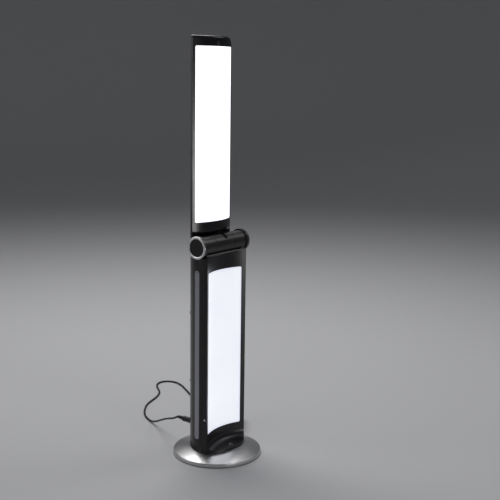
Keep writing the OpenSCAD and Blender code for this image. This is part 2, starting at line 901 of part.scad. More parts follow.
module arm_light_panel() {
  color("white") intersection() {
    translate([0, arm_y, 0]) linear_extrude(2 * big) difference() {
      circle(arm_R - 0.15, $fn = fine);
      circle(arm_R - arm_wall, $fn = fine);
    }
    upright_window(arm_lit_w / 2 - fit, arm_lit_lo + fit, arm_lit_hi - fit, lit_corner, -big, big);
    translate([-big / 2, -big, 0]) cube([big, big + back_edge_y, 2 * big]);
  }
}

module arm_reflector() {
  color("white") intersection() {
    tray(arm_tray_x, arm_lit_lo - 1.4, arm_lit_hi + 1.4, -10, arm_board_y);
    translate([0, arm_y, 0]) cylinder(r = arm_R - arm_wall - fit, h = 2 * big, $fn = fine);
  }
}

module arm_led_board() {
  led_board(arm_tray_x - 6, arm_lit_lo, arm_lit_hi, arm_board_y);
}

// Middle knuckle, with the tongue that carries the arm
module arm_knuckle() {
  color("black") difference() {
    union() {
      hinge_round(barrel_r, -mid_x, mid_x);
      translate([-tongue_x, hinge_y, hinge_z - neck_lo])
        cube([2 * tongue_x, tongue_y1 - hinge_y, neck_hi + neck_lo]);
      translate([-tongue_x, tongue_y0, hinge_z - neck_lo])
        cube([2 * tongue_x, tongue_y1 - tongue_y0, tongue_top - hinge_z + neck_lo]);
    }
    hinge_round(bolt_r + run_gap, -end_x, end_x);
    knuckle_screw_places() cylinder(r = screw_r, h = big, $fn = small_fn);
    stop_slot();
  }
}

// Short slot across the top front of the middle knuckle
module stop_slot() {
  intersection() {
    difference() {
      hinge_round(barrel_r + 1, 2.2, 4.6);
      hinge_round(barrel_r - 2, 0, big);
    }
    translate([0, hinge_y, hinge_z]) rotate([90, 0, 90]) linear_extrude(big)
      polygon([[0, 0], [0, 60], [-60, 60], [-60, 48]]);
  }
}

// Two screws from the arm's back into the tongue
module knuckle_screw_places() {
  for (x = [-12, 12])
    translate([x, knuckle_seat_y, tongue_top - 8]) rotate([90, 0, 0]) children();
}

module knuckle_screws() {
  color("gray") knuckle_screw_places() {
    translate([0, 0, -screw_head_t]) cylinder(r = screw_head_r, h = screw_head_t, $fn = small_fn);
    cylinder(r = screw_r, h = knuckle_seat_y - tongue_y0, $fn = small_fn);
  }
}

// Round rubber rest in the arm's front, just above the lit panel
module arm_rest_place() {
  translate([0, arm_y - arm_R + arm_wall + fit, arm_lit_hi + rest_d / 2 + rest_land]) rotate([90, 0, 0])
    children();
}

module arm_rest() {
  color("dimgray") arm_rest_place()
    cylinder(d = rest_d, h = arm_wall - fit + rest_proud, $fn = small_fn);
}

// ---- cord and adapter ----

module dc_plug() {
  color("dimgray") {
    translate([-jack_set, plug_y1, jack_z]) rotate([90, 0, 0])
      cylinder(d = plug_d, h = plug_len, $fn = round_fn);
    translate([-jack_set, plug_y0 + 0.1, jack_z]) rotate([90, 0, 0])
      cylinder(r = jack_hole_r - run_gap, h = 9, $fn = small_fn);
  }
}

module bend_relief() {
  color("black") translate([-jack_set, plug_y1, jack_z]) rotate([-90, 0, 0])
    cylinder(r1 = plug_d / 2 - 1.2, r2 = cord_r + 0.5, h = relief_len, $fn = small_fn);
}

// Smooth curve through the route, and the tube around it
function spline(a, b, c, d, t) = 0.5 * ((2 * b) + (c - a) * t
  + (2 * a - 5 * b + 4 * c - d) * t * t + (3 * b - a - 3 * c + d) * t * t * t);
function at(line, i) = line[max(0, min(len(line) - 1, i))];
function path(line) = concat(
  [for (i = [0 : len(line) - 2], t = [0, 0.5])
    spline(at(line, i - 1), at(line, i), at(line, i + 1), at(line, i + 2), t)],
  [at(line, len(line) - 1)]);
function unit(v) = v / norm(v);
function ring_at(p, dir, r, n) =
  let (side = unit(cross([0, 0, 1], dir)), up = cross(dir, side))
  [for (k = [0 : n - 1]) p + r * (cos(360 * k / n) * side + sin(360 * k / n) * up)];

module tube(points, r, n) {
  last = len(points) - 1;
  rings = [for (i = [0 : last])
    ring_at(points[i], unit(points[min(last, i + 1)] - points[max(0, i - 1)]), r, n)];
  flat = [for (ring = rings, p = ring) p];
  sides = [for (i = [0 : last - 1], k = [0 : n - 1])
    [i * n + k, i * n + (k + 1) % n, (i + 1) * n + (k + 1) % n, (i + 1) * n + k]];
  first_cap = [for (k = [n - 1 : -1 : 0]) k];
  last_cap = [for (k = [0 : n - 1]) last * n + k];
  polyhedron(flat, concat(sides, [first_cap, last_cap]), convexity = 10);
}

module power_cord() {
  color("black") tube(path(route), cord_r, 8);
}

module cord_coil() {
  color("black") translate([coil_x, coil_y, 0]) difference() {
    rotate_extrude($fn = fine) translate([coil_in_r, 0])
      square([coil_out_r - coil_in_r, coil_z1]);
    rotate(tie_turn) translate([coil_d / 2, 0, coil_z1 / 2])
      cube([coil_wide * cord_d + 8, 6 + 2 * fit, coil_z1 + 2], center = true);
  }
}

// Band around the coil
module cord_tie() {
  color("dimgray") translate([coil_x, coil_y, 0]) rotate(tie_turn)
    translate([coil_d / 2, 0, coil_z1 / 2])
      cube([coil_wide * cord_d + 2, 6, coil_z1], center = true);
}

module adapter_cord() {
  color("black") tube(path(adapter_route), cord_r, 8);
}

module adapter_place() {
  translate([adapter_at[0], adapter_at[1], 0]) rotate(adapter_turn) children();
}

module adapter_relief() {
  color("black") adapter_place() translate([0, adapter_size[1] / 2, adapter_size[2] / 2])
    rotate([-90, 0, 0]) cylinder(r1 = cord_r + 1.6, r2 = cord_r + 0.4, h = 10, $fn = small_fn);
}

module power_adapter() {
  x = adapter_size[0] / 2 - adapter_round;
  y = adapter_size[1] / 2 - adapter_round;
  color("black") adapter_place() linear_extrude(adapter_size[2]) {
    square([2 * x, adapter_size[1]], center = true);
    square([adapter_size[0], 2 * y], center = true);
    for (sx = [-1, 1], sy = [-1, 1])
      translate([sx * x, sy * y]) circle(adapter_round, $fn = small_fn);
  }
}

module adapter_pins() {
  color("silver") adapter_place() for (x = [-6.35, 6.35])
    translate([x - 0.75, -adapter_size[1] / 2 - 17, adapter_size[2] / 2 - 3.2])
      cube([1.5, 17, 6.4]);
}

base_cover();
base_weight();
bottom_plate();
rubber_ring();
base_screws();
foot_block();
column_rear_shell();
column_front_shell();
column_light_panel();
column_reflector();
column_led_board();
column_screws();
side_strip_left();
side_strip_right();
dc_socket();
control_board();
power_button();
power_switch();
side_button();
side_contact();
hinge_yoke();
hinge_bolt();
hinge_nut();
friction_washers();
hinge_ring_left();
hinge_ring_right();
hinge_disc_left();
hinge_disc_right();
arm_knuckle();
knuckle_screws();
arm_rear_shell();
arm_front_shell();
arm_light_panel();
arm_reflector();
arm_led_board();
arm_rest();
dc_plug();
bend_relief();
power_cord();
cord_coil();
cord_tie();
adapter_cord();
adapter_relief();
power_adapter();
adapter_pins();
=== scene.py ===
"""Looks of a folding light therapy lamp.

A lit column and a lit arm stand on a round silver base, with a cord and a wall adapter.
"""

import math

import bmesh
import bpy
from mathutils import Matrix, Vector


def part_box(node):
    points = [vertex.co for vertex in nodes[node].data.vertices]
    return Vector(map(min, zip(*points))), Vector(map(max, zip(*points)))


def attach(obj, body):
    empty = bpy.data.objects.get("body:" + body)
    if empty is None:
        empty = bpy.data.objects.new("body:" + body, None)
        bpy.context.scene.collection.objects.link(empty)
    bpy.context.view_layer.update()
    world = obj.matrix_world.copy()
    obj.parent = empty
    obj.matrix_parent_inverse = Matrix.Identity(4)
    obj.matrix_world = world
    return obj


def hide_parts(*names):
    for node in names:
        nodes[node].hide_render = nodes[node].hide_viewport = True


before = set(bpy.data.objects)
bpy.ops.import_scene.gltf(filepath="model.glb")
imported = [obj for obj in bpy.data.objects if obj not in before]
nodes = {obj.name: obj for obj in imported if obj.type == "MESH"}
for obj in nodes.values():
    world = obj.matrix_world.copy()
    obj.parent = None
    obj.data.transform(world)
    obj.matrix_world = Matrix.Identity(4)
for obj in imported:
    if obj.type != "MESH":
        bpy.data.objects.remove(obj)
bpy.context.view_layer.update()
mm = 0.001

# ---- Camera ----
# It stands in front of the lamp and to the left of it, a little above the hinge. Its place, its turn
# and its focal length were fitted to the photograph.
sensor_w, frame_px, focal_px = 36, 500, 954.43
eye = Vector((-1194.083, -1036.767, 653.606)) * mm
turn, tilt, roll = math.radians(-50.964), math.radians(-10.566), math.radians(0.759)
back = Vector((math.sin(turn) * math.cos(tilt), -math.cos(turn) * math.cos(tilt), -math.sin(tilt)))
level = Vector((math.cos(turn), math.sin(turn), 0))
upward = back.cross(level)
across = math.cos(roll) * level + math.sin(roll) * upward
upright = -math.sin(roll) * level + math.cos(roll) * upward
lens = bpy.data.cameras.new("camera")
lens.sensor_width = sensor_w
lens.lens = focal_px / frame_px * sensor_w
camera = bpy.data.objects.new("camera", lens)
camera.matrix_world = Matrix.Translation(eye) @ Matrix((across, upright, back)).transposed().to_4x4()
bpy.context.scene.collection.objects.link(camera)
bpy.context.scene.camera = camera

# ---- Power cord ----
# One thin low-voltage lead with a smooth black vinyl sheath. It leaves the plug's bend relief, falls
# to the table, runs round behind the lamp, is wound into a flat coil and ends in the wall adapter.
# Its points and the coil's sizes are in millimetres, and the coil's angles in degrees.
pitch = 3.5
cord_d = pitch * mm
route = [
    (-20, 74.98, 50.5), (-19.3, 82, 46.6), (-17, 90, 42.6), (-12, 102, 37.8), (-5, 115, 32.4),
    (2, 131, 25.2), (9, 147, 17.4), (15, 163, 9.6), (20, 178, 4), (26, 194, 1.9),
    (35, 212, 1.8), (48, 228, 1.8), (64, 243, 1.8), (82, 256, 1.8), (102, 265, 1.8),
    (122, 272, 1.8), (140, 281, 1.8), (155, 293, 1.8), (167, 309, 1.8), (179, 324, 1.8),
    (193, 333, 1.8), (208, 332, 1.8), (218, 321, 1.8), (220, 305, 1.8), (214, 286, 1.8),
    (202, 264, 1.8), (188, 240, 1.8), (172, 214, 1.8), (154, 187, 1.8), (137, 160, 1.8),
    (122, 139, 1.8), (104, 126, 1.8),
]
adapter_route = [
    (109.1, 108.3, 4.4), (113.7, 116.4, 2.7), (121.8, 121, 1.8), (131.1, 121.5, 1.8),
    (140.4, 121.5, 2.5), (149.3, 118.9, 5.3), (155.6, 112.1, 9.3), (157.6, 103.1, 13.5),
    (154.6, 94.3, 16.7), (147.9, 87.8, 18),
]
coil_centre = Vector((82, 99, 0))
coil_inner, coil_outer = 14.75, 25.25
layer_low, layer_high = 1.8, 5.3
coil_start, coil_end, coil_step = 90, 7 * 360, 15
inward, climb = 3 * 360, 120


def eased(share):
    """A share from 0 to 1 that starts and ends gently."""
    share = max(0.0, min(1.0, share))
    return share * share * (3 - 2 * share)


def coil_point(angle):
    """A point of the coil: turns inwards on the table, a climb, and turns outwards on top of them."""
    wound = angle - coil_start
    if wound < inward:
        radius = coil_outer - pitch * wound / 360
    else:
        radius = coil_inner + pitch * max(0, wound - inward - climb) / 360
    height = layer_low + (layer_high - layer_low) * eased((wound - inward) / climb)
    a = math.radians(angle)
    return coil_centre + Vector((radius * math.cos(a), radius * math.sin(a), height))


coil_turns = [coil_point(a) for a in range(coil_start, coil_end + 1, coil_step)]


def smooth(points, steps):
    """A smooth curve through the points, as in the part's source."""
    points = [Vector(p) for p in points]
    last = len(points) - 1
    line = []
    for i in range(last):
        a, b, c, d = (points[max(0, min(last, i + k))] for k in (-1, 0, 1, 2))
        for k in range(steps):
            t = k / steps
            line.append(0.5 * (2 * b + (c - a) * t + (2 * a - 5 * b + 4 * c - d) * t ** 2
                               + (3 * b - a - 3 * c + d) * t ** 3))
    return line + [points[last]]


free_line = smooth(route + [coil_turns[0]], steps=4)
lead_line = smooth([coil_turns[-1]] + adapter_route, steps=5)
cord_line = [p * mm for p in free_line[:-1] + coil_turns + lead_line[1:]]


def new_object(name, mesh):
    made = bpy.data.objects.new(name, mesh)
    bpy.context.scene.collection.objects.link(made)
    return made


def built(name, build):
    """A new object from a mesh in the making."""
    mesh = bpy.data.meshes.new(name)
    build.to_mesh(mesh)
    build.free()
    return new_object(name, mesh)


def full_turn(count):
    """Even angles round a full turn."""
    return [2 * math.pi * k / count for k in range(count)]


def tube(name, line, radius, sides):
    """A closed tube along a line, with a UV map that runs round it and along it in metres."""
    build = bmesh.new()
    uv = build.loops.layers.uv.new("along")
    side = (line[1] - line[0]).orthogonal().normalized()
    rings, run, length = [], [], 0.0
    for i, p in enumerate(line):
        ahead = (line[min(i + 1, len(line) - 1)] - line[max(i - 1, 0)]).normalized()
        side = (side - ahead * side.dot(ahead)).normalized()
        other = ahead.cross(side)
        if i:
            length += (p - line[i - 1]).length
        run.append(length)
        rings.append([
            build.verts.new(p + radius * (math.cos(a) * side + math.sin(a) * other))
            for a in full_turn(sides)
        ])
    for i in range(len(line) - 1):
        for k in range(sides):
            n = (k + 1) % sides
            face = build.faces.new((rings[i][k], rings[i][n], rings[i + 1][n], rings[i + 1][k]))
            face.smooth = True
            for loop, u, v in zip(face.loops, (k, k + 1, k + 1, k), (i, i, i + 1, i + 1)):
                loop[uv].uv = (u / sides, run[v])
    build.faces.new(reversed(rings[0]))
    build.faces.new(rings[-1])
    return built(name, build)


class Wire:
    """An output of a material's nodes. Sums on it add Math nodes, and node() adds any other."""

    def __init__(self, tree, socket):
        self.tree, self.socket = tree, socket

    def node(self, kind, settings=(), sockets=(), out=0):
        """Adds a node: first its settings, then its sockets' values or links. Gives its output."""
        made = self.tree.nodes.new("ShaderNode" + kind)
        for name, value in dict(settings).items():
            setattr(made, name, value)
        for key, value in dict(sockets).items():
            if isinstance(value, Wire):
                self.tree.links.new(value.socket, made.inputs[key])
            else:
                made.inputs[key].default_value = value
        return Wire(self.tree, made.outputs[out])

    def maths(self, operation, *values):
        """A Math node on the values, each one a number or an output."""
        return self.node("Math", {"operation": operation}, dict(enumerate(values)))

    def __add__(self, other):
        return self.maths("ADD", self, other)

    def __sub__(self, other):
        return self.maths("SUBTRACT", self, other)

    def __rsub__(self, other):
        return self.maths("SUBTRACT", other, self)

    def __mul__(self, other):
        return self.maths("MULTIPLY", self, other)

    def __abs__(self):
        return self.maths("ABSOLUTE", self)

    __radd__, __rmul__ = __add__, __mul__


def noise(place, scale, detail=3.0):
    """Soft noise from 0 to 1; scale is in patches per metre."""
    return place.node("TexNoise", (), {"Vector": place, "Scale": scale, "Detail": detail})


def stretched(place, x, y, z):
    """The place with each axis scaled, which draws a pattern out along the small ones."""
    return place.node("VectorMath", {"operation": "MULTIPLY"}, {0: place, 1: (x, y, z)})


def spread(value, low, high, to_low, to_high):
    """The value's range from low to high moved to another range, and held there."""
    sockets = {
        "Value": value, "From Min": low, "From Max": high, "To Min": to_low, "To Max": to_high,
    }
    return value.node("MapRange", {"clamp": True}, sockets)


def tint(share, low, high):
    """A colour between low, where share is 0, and high, where it is 1."""
    first, second = (v if isinstance(v, Wire) else (*v, 1) for v in (low, high))
    return share.node("Mix", {"data_type": "RGBA"}, {0: share, 6: first, 7: second}, out=2)


def bump(height, depth, under=None):
    """A bump of that depth in metres where height goes from 0 to 1."""
    sockets = {"Height": height, "Distance": depth, "Strength": 1.0}
    if under:
        sockets["Normal"] = under
    return height.node("Bump", (), sockets)


def material(name, steady, varying, coordinates="Object"):
    """Steady values go on the shader's own sockets; varying(place) gives what changes over it."""
    made = bpy.data.materials.new(name)
    made.use_nodes = True
    tree = made.node_tree
    shader = tree.nodes["Principled BSDF"]
    for socket, value in steady.items():
        shader.inputs[socket].default_value = value
    place = Wire(tree, tree.nodes.new("ShaderNodeTexCoord").outputs[coordinates])
    for socket, wire in varying(place).items():
        tree.links.new(wire.socket, shader.inputs[socket])
    return made


def sheath_look(place):
    streaks = noise(stretched(place, 9, 60, 1), 1.0)
    scuffs = noise(stretched(place, 3, 400, 1), 1.0, 6.0)
    return {
        "Base Color": tint(streaks, (0.010, 0.010, 0.011), (0.022, 0.022, 0.024)),
        "Roughness": spread(scuffs, 0.3, 0.7, 0.34, 0.52),
        "Normal": bump(scuffs, 0.04 * mm),
    }


sheath = material("black_vinyl_sheath", {"Specular IOR Level": 0.45}, sheath_look, "UV")
cord = tube("power_cord_sheath", cord_line, cord_d / 2, sides=14)
cord.data.materials.append(sheath)
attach(cord, "column")
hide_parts("power_cord", "cord_coil", "adapter_cord")

# ---- Bend reliefs ----
# Soft black rubber sleeves moulded over the cord, one at the plug and one at the adapter. Round ribs
# get smaller towards the cord, so that the sleeve bends in a curve.


def repeat_tree():
    """Nodes that set a part on every point of a mesh, turned, spun by a seeded amount and sized."""
    tree = bpy.data.node_groups.new("part_on_points", "GeometryNodeTree")
    inputs = {
        "Geometry": "Geometry", "Part": "Object", "Turn": "Vector", "Spin": "Float", "Seed": "Int",
        "Finish": "Material",
    }
    for name, kind in inputs.items():
        tree.interface.new_socket(name, in_out="INPUT", socket_type="NodeSocket" + kind)
    tree.interface.new_socket("Geometry", in_out="OUTPUT", socket_type="NodeSocketGeometry")

    def add(kind, settings=(), sockets=()):
        made = tree.nodes.new(kind)
        for name, value in dict(settings).items():
            setattr(made, name, value)
        for key, value in dict(sockets).items():
            if isinstance(value, bpy.types.NodeSocket):
                tree.links.new(value, made.inputs[key])
            else:
                made.inputs[key].default_value = value
        return made

    given = add("NodeGroupInput").outputs
    size = add("GeometryNodeInputNamedAttribute", {"data_type": "FLOAT_VECTOR"}, {"Name": "size"})
    part = add("GeometryNodeObjectInfo", (), {"Object": given["Part"]})
    turned = add("FunctionNodeEulerToRotation", (), {"Euler": given["Turn"]})
    least = add("ShaderNodeMath", {"operation": "MULTIPLY"}, {0: given["Spin"], 1: -1.0})
    chance = add("FunctionNodeRandomValue", {"data_type": "FLOAT"})
    for socket in chance.inputs:
        if socket.enabled and socket.name == "Min":
            tree.links.new(least.outputs[0], socket)
        if socket.enabled and socket.name == "Max":
            tree.links.new(given["Spin"], socket)
        if socket.name == "Seed":
            tree.links.new(given["Seed"], socket)
    amount = next(s for s in chance.outputs if s.enabled)
    spun = add("FunctionNodeAxisAngleToRotation", (), {"Axis": (0, 0, 1), "Angle": amount})
    both = add("FunctionNodeRotateRotation", {"rotation_space": "LOCAL"})
    tree.links.new(turned.outputs[0], both.inputs["Rotation"])
    tree.links.new(spun.outputs[0], both.inputs["Rotate By"])
    placed = add("GeometryNodeInstanceOnPoints", (), {
        "Points": given["Geometry"], "Instance": part.outputs["Geometry"],
        "Rotation": both.outputs[0], "Scale": size.outputs["Attribute"],
    })
    real = add("GeometryNodeRealizeInstances", (), {"Geometry": placed.outputs["Instances"]})
    dressed = add("GeometryNodeSetMaterial", (), {
        "Geometry": real.outputs[0], "Material": given["Finish"],
    })
    add("NodeGroupOutput", (), {"Geometry": dressed.outputs[0]})
    return tree


part_on_points = repeat_tree()


def repeated(name, part, places, finish, sizes=None, turn=(0, 0, 0), spin=0.0, seed=1):
    """A plain mesh with a copy of the part at each place."""
    points = bpy.data.meshes.new(name + "_places")
    points.from_pydata([tuple(p) for p in places], [], [])
    size = points.attributes.new("size", "FLOAT_VECTOR", "POINT")
    for entry, value in zip(size.data, sizes or [(1, 1, 1)] * len(places)):
        entry.vector = value
    carrier = new_object(name + "_places", points)
    modifier = carrier.modifiers.new("repeat", "NODES")
    modifier.node_group = part_on_points
    given = {"Part": part, "Turn": turn, "Spin": spin, "Seed": seed, "Finish": finish}
    for socket in part_on_points.interface.items_tree:
        if socket.in_out == "INPUT" and socket.name in given:
            modifier[socket.identifier] = given[socket.name]
    depsgraph = bpy.context.evaluated_depsgraph_get()
    mesh = bpy.data.meshes.new_from_object(carrier.evaluated_get(depsgraph), depsgraph=depsgraph)
    mesh.name = name
    bpy.data.objects.remove(carrier)
    bpy.data.objects.remove(part)
    return new_object(name, mesh)


def turned_profile(name, profile, segments=48):
    """A closed body turned round Z from (radius, height) points, the ends of which lie on the axis."""
    build = bmesh.new()
    rings = []
    for radius, height in profile:
        angles = full_turn(segments) if radius > 0 else [0]
        rings.append([
            build.verts.new((radius * math.cos(a), radius * math.sin(a), height)) for a in angles
        ])
    for low, high in zip(rings, rings[1:]):
        for k in range(segments):
            n = (k + 1) % segments
            corners = [low[k % len(low)], low[n % len(low)], high[n % len(high)], high[k % len(high)]]
            build.faces.new(list(dict.fromkeys(corners))).smooth = True
    bmesh.ops.recalc_face_normals(build, faces=build.faces)
    return built(name, build)


def joined(name, *pieces):
    """The pieces' meshes as one mesh, with each one's place applied."""
    build = bmesh.new()
    finishes = []
    for piece in pieces:
        start = len(build.faces)
        piece.data.transform(piece.matrix_world)
        build.from_mesh(piece.data)
        build.faces.ensure_lookup_table()
        for face in build.faces[start:]:
            finish = piece.data.materials[face.material_index] if piece.data.materials else None
            if finish not in finishes:
                finishes.append(finish)
            face.material_index = finishes.index(finish)
    made = built(name, build)
    for finish in finishes:
        if finish:
            made.data.materials.append(finish)
    for piece in pieces:
        bpy.data.objects.remove(piece)
    return made


def rubber_look(place):
    pores = noise(place, 2600.0, 4.0)
    patches = noise(place, 140.0)
    return {
        "Base Color": tint(patches, (0.012, 0.012, 0.012), (0.026, 0.026, 0.027)),
        "Roughness": spread(patches, 0.3, 0.7, 0.52, 0.68),
        "Normal": bump(pores, 0.05 * mm),
    }


rubber = material("soft_black_rubber", {"Specular IOR Level": 0.4}, rubber_look)


def bend_sleeve(name, wide, narrow, length, ribs):
    """A ribbed sleeve that starts at the origin and narrows along Z."""
    core_wide, core_narrow = wide - 0.5 * mm, narrow - 0.15 * mm
    core = turned_profile(name + "_core", [
        (0, 0), (core_wide - 0.1 * mm, 0), (core_wide, 0.2 * mm), (core_narrow, length - 0.4 * mm),
        (core_narrow - 0.25 * mm, length), (0, length),
    ], segments=32)
    core.data.materials.append(rubber)
    rib = turned_profile(name + "_rib", [
        (share, height * mm) for share, height in (
            (0, -0.48), (0.86, -0.48), (0.96, -0.34), (1, -0.12),
            (1, 0.12), (0.96, 0.34), (0.86, 0.48), (0, 0.48),
        )
    ], segments=32)
    places, sizes = [], []
    for k in range(ribs):
        share = (k + 0.5) / ribs
        radius = wide + (narrow - wide) * share
        places.append((0, 0, length * share))
        sizes.append((radius, radius, 1))
    return joined(name, core, repeated(name + "_ribs", rib, places, rubber, sizes))


def settle(piece, body, slot_name, *stood_for):
    """Puts a finished piece's place in its mesh, and gives it to its body; its slot name is not used."""
    bpy.context.view_layer.update()
    piece.data.transform(piece.matrix_world)
    piece.matrix_world = Matrix.Identity(4)
    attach(piece, body)
    if stood_for:
        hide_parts(*stood_for)


plug_axis = Vector((-20, 0, 50.5)) * mm
plug_rear = 62.98 * mm
towards_back = Matrix.Rotation(math.radians(-90), 4, "X")
plug_relief = bend_sleeve(
    "plug_bend_relief", wide=3.6 * mm, narrow=2.25 * mm, length=12 * mm, ribs=7,
)
plug_relief.matrix_world = Matrix.Translation(plug_axis + Vector((0, plug_rear, 0))) @ towards_back
settle(plug_relief, "column", "rubber", "bend_relief")

adapter_centre = Vector((116, 62, 0)) * mm
adapter_size = Vector((28, 62, 36)) * mm
adapter_turn = Matrix.Translation(adapter_centre) @ Matrix.Rotation(math.radians(-51), 4, "Z")
adapter_relief = bend_sleeve(
    "adapter_bend_relief", wide=3.35 * mm, narrow=2.15 * mm, length=10 * mm, ribs=6,
)
adapter_relief.matrix_world = (
    adapter_turn @ Matrix.Translation((0, adapter_size.y / 2, adapter_size.z / 2)) @ towards_back
)
settle(adapter_relief, "column", "rubber", "adapter_relief")

# ---- Plug ----
# The low-voltage plug in the column's back: a grip of satin black plastic, moulded on the cord, with
# finger grooves round it, and the metal sleeve that goes into the socket. Its profiles are in
# millimetres, from the grip's front end.
plug_front = 36.98 * mm


def plug_look(place):
    grain = noise(place, 1800.0, 5.0)
    rubs = noise(place, 90.0)
    return {
        "Base Color": tint(rubs, (0.013, 0.013, 0.014), (0.028, 0.028, 0.030)),
        "Roughness": spread(rubs, 0.35, 0.65, 0.26, 0.40),
        "Normal": bump(grain, 0.03 * mm),
    }


plug_plastic = material("satin_black_plastic", {"Coat Weight": 0.15, "Coat Roughness": 0.2}, plug_look)


def plated_look(place):
    lines = noise(stretched(place, 1, 12, 12), 220.0, 4.0)
    return {
        "Base Color": tint(lines, (0.50, 0.50, 0.51), (0.66, 0.66, 0.67)),
        "Roughness": spread(lines, 0.3, 0.7, 0.2, 0.36),
        "Normal": bump(lines, 0.01 * mm),
    }


plated = material("zinc_plated_steel", {"Metallic": 1.0}, plated_look)
grip_r, grip_len, first_groove, groove_step, grooves = 4.8, 26, 5, 3.4, 5
grip = [(0, 0), (3.9, 0), (4.5, 0.5), (4.75, 1.2), (grip_r, 3.6)]
for groove in range(grooves):
    start = first_groove + groove * groove_step
    grip += [(grip_r, start), (4.35, start + 0.35), (4.3, start + 0.8), (4.35, start + 1.25)]
    grip.append((grip_r, start + 1.6))
grip += [(grip_r, 23.4), (4.55, 24.6), (3.9, 25.6), (3.6, grip_len), (0, grip_len)]
plug_grip = turned_profile("plug_grip", [(r * mm, h * mm) for r, h in grip], segments=56)
plug_grip.data.materials.append(plug_plastic)
sleeve = [
    (0, -8.9), (0.7, -8.9), (0.8, -8.4), (2.1, -8.4), (2.6, -8.9), (2.74, -8.6), (2.74, 0.1), (0, 0.1),
]
plug_sleeve = turned_profile("plug_sleeve", [(r * mm, h * mm) for r, h in sleeve], segments=40)
plug_sleeve.data.materials.append(plated)
plug = joined("low_voltage_plug", plug_grip, plug_sleeve)
plug.matrix_world = Matrix.Translation(plug_axis + Vector((0, plug_front, 0))) @ towards_back
settle(plug, "column", "dark_plastic", "dc_plug")

# ---- Coil tie ----
# A black plastic-covered wire, wound twice round the coil's turns and twisted on top of them, holds
# the spare cord together. Its points are in millimetres too.
tie_angle, tie_reach = math.radians(215), 20 * mm
tie_place = (
    Matrix.Translation(coil_centre * mm) @ Matrix.Rotation(tie_angle, 4, "Z")
    @ Matrix.Translation((tie_reach, 0, 0))
)
half_w, low_z, high_z = 7.6, 0.5, 7.5
wind_from, wind_step = -1.6, 1.9
loop = [
    (-half_w + 1, low_z), (half_w - 1, low_z), (half_w, low_z + 1), (half_w, high_z - 1),
    (half_w - 1, high_z), (-half_w + 1, high_z), (-half_w, high_z - 1), (-half_w, low_z + 1),
]
wound = []
for turn_count in range(2):
    for k, (x, z) in enumerate(loop):
        wound.append((x, wind_from + wind_step * (turn_count * len(loop) + k) / len(loop), z))
wound += [(-half_w + 2, 2.3, low_z + 0.1), (0, 2.4, low_z)]
tie_wire = tube("tie_wire", [p * mm for p in smooth(wound, steps=4)], 0.5 * mm, sides=8)
twist_r, twist_y, twist_z, twist_steps, twists = 0.42, 0.6, high_z + 0.6, 24, 3
twist = []
for k in range(twist_steps + 1):
    a = k / twist_steps * 2 * twists * math.pi
    beside, above = twist_r * math.cos(a), twist_r * math.sin(a)
    twist.append(Vector((-4 + k * 0.33, twist_y + beside, twist_z + above)) * mm)
tie_twist = tube("tie_twist", twist, 0.45 * mm, sides=8)
other_twist = tube("tie_other_twist", [
    Vector((p.x, 2 * twist_y * mm - p.y, 2 * twist_z * mm - p.z)) for p in twist
], 0.45 * mm, sides=8)
coil_tie = joined("coil_tie", tie_wire, tie_twist, other_twist)
coil_tie.data.materials.append(plug_plastic)
coil_tie.matrix_world = tie_place
settle(coil_tie, "column", "dark_plastic", "cord_tie")

# ---- Wall adapter ----
# A moulded block in two halves of satin black plastic, welded at a fine seam, with a shallow bare
# panel on each side, a small window for its light, and two flat pins with a hole near their ends.
case_round, seam_w, seam_depth, seam_z = 2.4 * mm, 0.5 * mm, 0.45 * mm, 6 * mm
panel_size, panel_z = (0.8 * mm, 44 * mm, 17 * mm), -5 * mm
pin_x, pin_y, pin_size = 6.35 * mm, 8.3 * mm, (1.5 * mm, 17.4 * mm, 6.4 * mm)


def block(name, size, rounding, segments=4):
    """A box with rounded edges, centred on the origin."""
    build = bmesh.new()
    bmesh.ops.create_cube(build, size=1, matrix=Matrix.Diagonal((*size, 1)))
    bmesh.ops.bevel(
        build, geom=build.edges[:], offset=rounding, segments=segments, affect="EDGES", profile=0.5,
    )
    for face in build.faces:
        face.smooth = True
    return built(name, build)


def cut_with(piece, *cutters):
    """Takes the cutters out of the piece."""
    for cutter in cutters:
        modifier = piece.modifiers.new("cut", "BOOLEAN")
        modifier.operation, modifier.solver, modifier.object = "DIFFERENCE", "EXACT", cutter
    bpy.context.view_layer.update()
    depsgraph = bpy.context.evaluated_depsgraph_get()
    mesh = bpy.data.meshes.new_from_object(piece.evaluated_get(depsgraph), depsgraph=depsgraph)
    piece.modifiers.clear()
    piece.data = mesh
    for cutter in cutters:
        bpy.data.objects.remove(cutter)
    return piece


def frame_bar(name, outer, inner, height):
    """A square ring, for cutting a seam round a block."""
    ring = block(name, (outer[0], outer[1], height), 0.0001 * mm, 1)
    hole = block(name + "_hole", (inner[0], inner[1], height * 4), 0.5 * mm, 2)
    return cut_with(ring, hole)


adapter_case = block("adapter_case", adapter_size, case_round)
seam_inside = (adapter_size.x - 2 * seam_depth, adapter_size.y - 2 * seam_depth)
seam = frame_bar("adapter_seam", (40 * mm, 74 * mm), seam_inside, seam_w)
seam.data.transform(Matrix.Translation((0, 0, seam_z)))
panels = []
for sign in (-1, 1):
    panel = block("adapter_panel", panel_size, 0.3 * mm, 2)
    panel.data.transform(Matrix.Translation((sign * adapter_size.x / 2, 0, panel_z)))
    panels.append(panel)
adapter_case = cut_with(adapter_case, seam, *panels)
adapter_case.data.materials.append(plug_plastic)
adapter_light = turned_profile("adapter_light", [
    (0, -0.6 * mm), (1.2 * mm, -0.6 * mm), (1.2 * mm, 0.2 * mm), (0.9 * mm, 0.35 * mm), (0, 0.45 * mm),
], segments=24)


